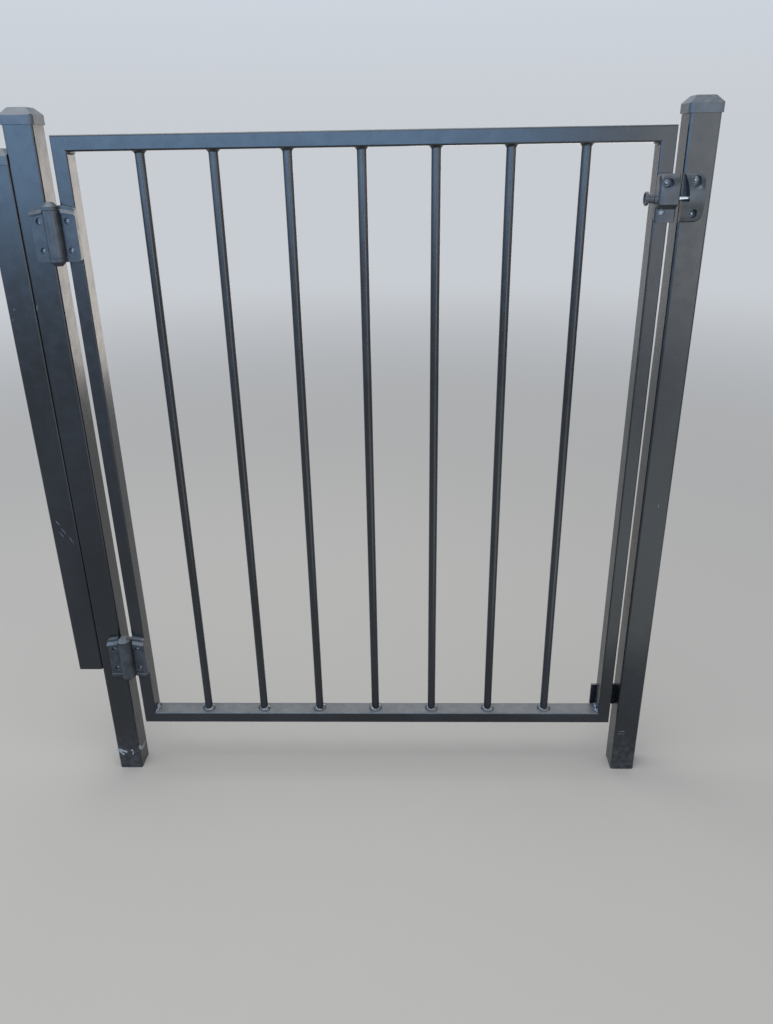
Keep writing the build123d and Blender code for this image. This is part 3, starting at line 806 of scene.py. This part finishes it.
head = disc(screws, given["Head Radius"], given["Head Height"], rings_out=7, rings_up=5)
place = position(screws)
parts = wire(screws, "ShaderNodeSeparateXYZ", {0: place}).outputs
level = stretched(screws, place, (1, 1, 0))
reach = flow(screws, "ShaderNodeVectorMath", {0: level}, "Value", operation="LENGTH")
share = reckon(screws, "POWER", reckon(screws, "DIVIDE", reach, given["Head Radius"]), dome_sharpness)
fall = reckon(screws, "SUBTRACT", 1.0, reckon(screws, "MULTIPLY", share, dome_fall))
sockets = {0: parts["X"], 1: parts["Y"], 2: reckon(screws, "MULTIPLY", parts["Z"], fall)}
domed = flow(screws, "ShaderNodeCombineXYZ", sockets)
head = flow(screws, "GeometryNodeSetPosition", {0: head, "Position": domed})
slot_boxes = []
for first, second in (("Cross Length", "Cross Width"), ("Cross Width", "Cross Length")):
    deep = reckon(screws, "MULTIPLY", given["Cross Depth"], 2.0)
    size = flow(screws, "ShaderNodeCombineXYZ", {0: given[first], 1: given[second], 2: deep})
    box = flow(screws, "GeometryNodeMeshCube", {"Size": size}, "Mesh")
    lift = flow(screws, "ShaderNodeCombineXYZ", {2: given["Head Height"]})
    slot_boxes.append(flow(screws, "GeometryNodeTransform", {0: box, "Translation": lift}))
sockets = {"Mesh 1": head, "Mesh 2": slot_boxes[0]}
cut = wire(screws, "GeometryNodeMeshBoolean", sockets, operation="DIFFERENCE", solver="EXACT")
screws.links.new(slot_boxes[1], cut.inputs["Mesh 2"])
flange = disc(screws, given["Flange Radius"], given["Flange Height"], rings_out=1, rings_up=1)
both = screws.nodes.new("GeometryNodeJoinGeometry")
for shape in (cut.outputs["Mesh"], flange):
    screws.links.new(shape, both.inputs[0])
roll = flow(screws, "ShaderNodeCombineXYZ", {2: random_value(screws, 0.0, math.pi, given["Seed"])})
sockets = {"Rotation": (math.pi / 2, 0, 0), "Rotate By": roll}
facing_out = flow(screws, "FunctionNodeRotateRotation", sockets, rotation_space="LOCAL")
sockets = {"Points": given["Geometry"], "Instance": both.outputs[0], "Rotation": facing_out}
close_tree(screws, flow(screws, "GeometryNodeInstanceOnPoints", sockets), given, result)


def drive_screws(name, places, body, head_radius, seed):
    """Sets screws with their flanges on the places given, heads towards the front."""
    grow(name, places, [], screws, body, "zinc_steel", Head_Radius=head_radius, Head_Height=head_height,
         Flange_Radius=head_radius + flange_overhang, Flange_Height=flange_height,
         Cross_Length=cross_length_share * head_radius, Cross_Width=cross_width,
         Cross_Depth=cross_depth, Seed=seed, Finish=shade_darkened_screw_zinc)


seat_floor = post_face - hinge_plate_depth + hinge_seat_depth
for index, which in enumerate(("upper", "lower")):
    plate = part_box(f"{which}_hinge_post_leaf")
    middle = (plate[0].z + plate[1].z) / 2
    seats = [(x, seat_floor, middle + rise) for x, rise in hinge_screw_places]
    drive_screws(f"{which}_hinge_post_screws", seats[:2], "posts", small_head, 11 + index)
    drive_screws(f"{which}_hinge_gate_screws", seats[2:], "leaf", small_head, 21 + index)

# Latch
# A case on the gate holds the sprung pin and its pull knob, and a keeper on the post takes the pin.
# Both are black mouldings, and each is held by two of the larger screws.
finish_nodes(("latch_case", "latch_keeper", "latch_knob"), fitting_plastic)
case_screws = [(1.0465, -0.036, 1.2105), (1.0435, -0.033, 1.1655)]
keeper_screws = [(1.0945, -0.030, 1.2145), (1.0945, -0.030, 1.1630)]
drive_screws("latch_case_screws", case_screws, "leaf", large_head, 31)
drive_screws("latch_keeper_screws", keeper_screws, "posts", large_head, 32)

# Size
# The dressed gate's box beside that of the plain solids, in metres.
size = {"cad": [list(corner) for corner in cad_box], "visual": [list(corner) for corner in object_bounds()]}
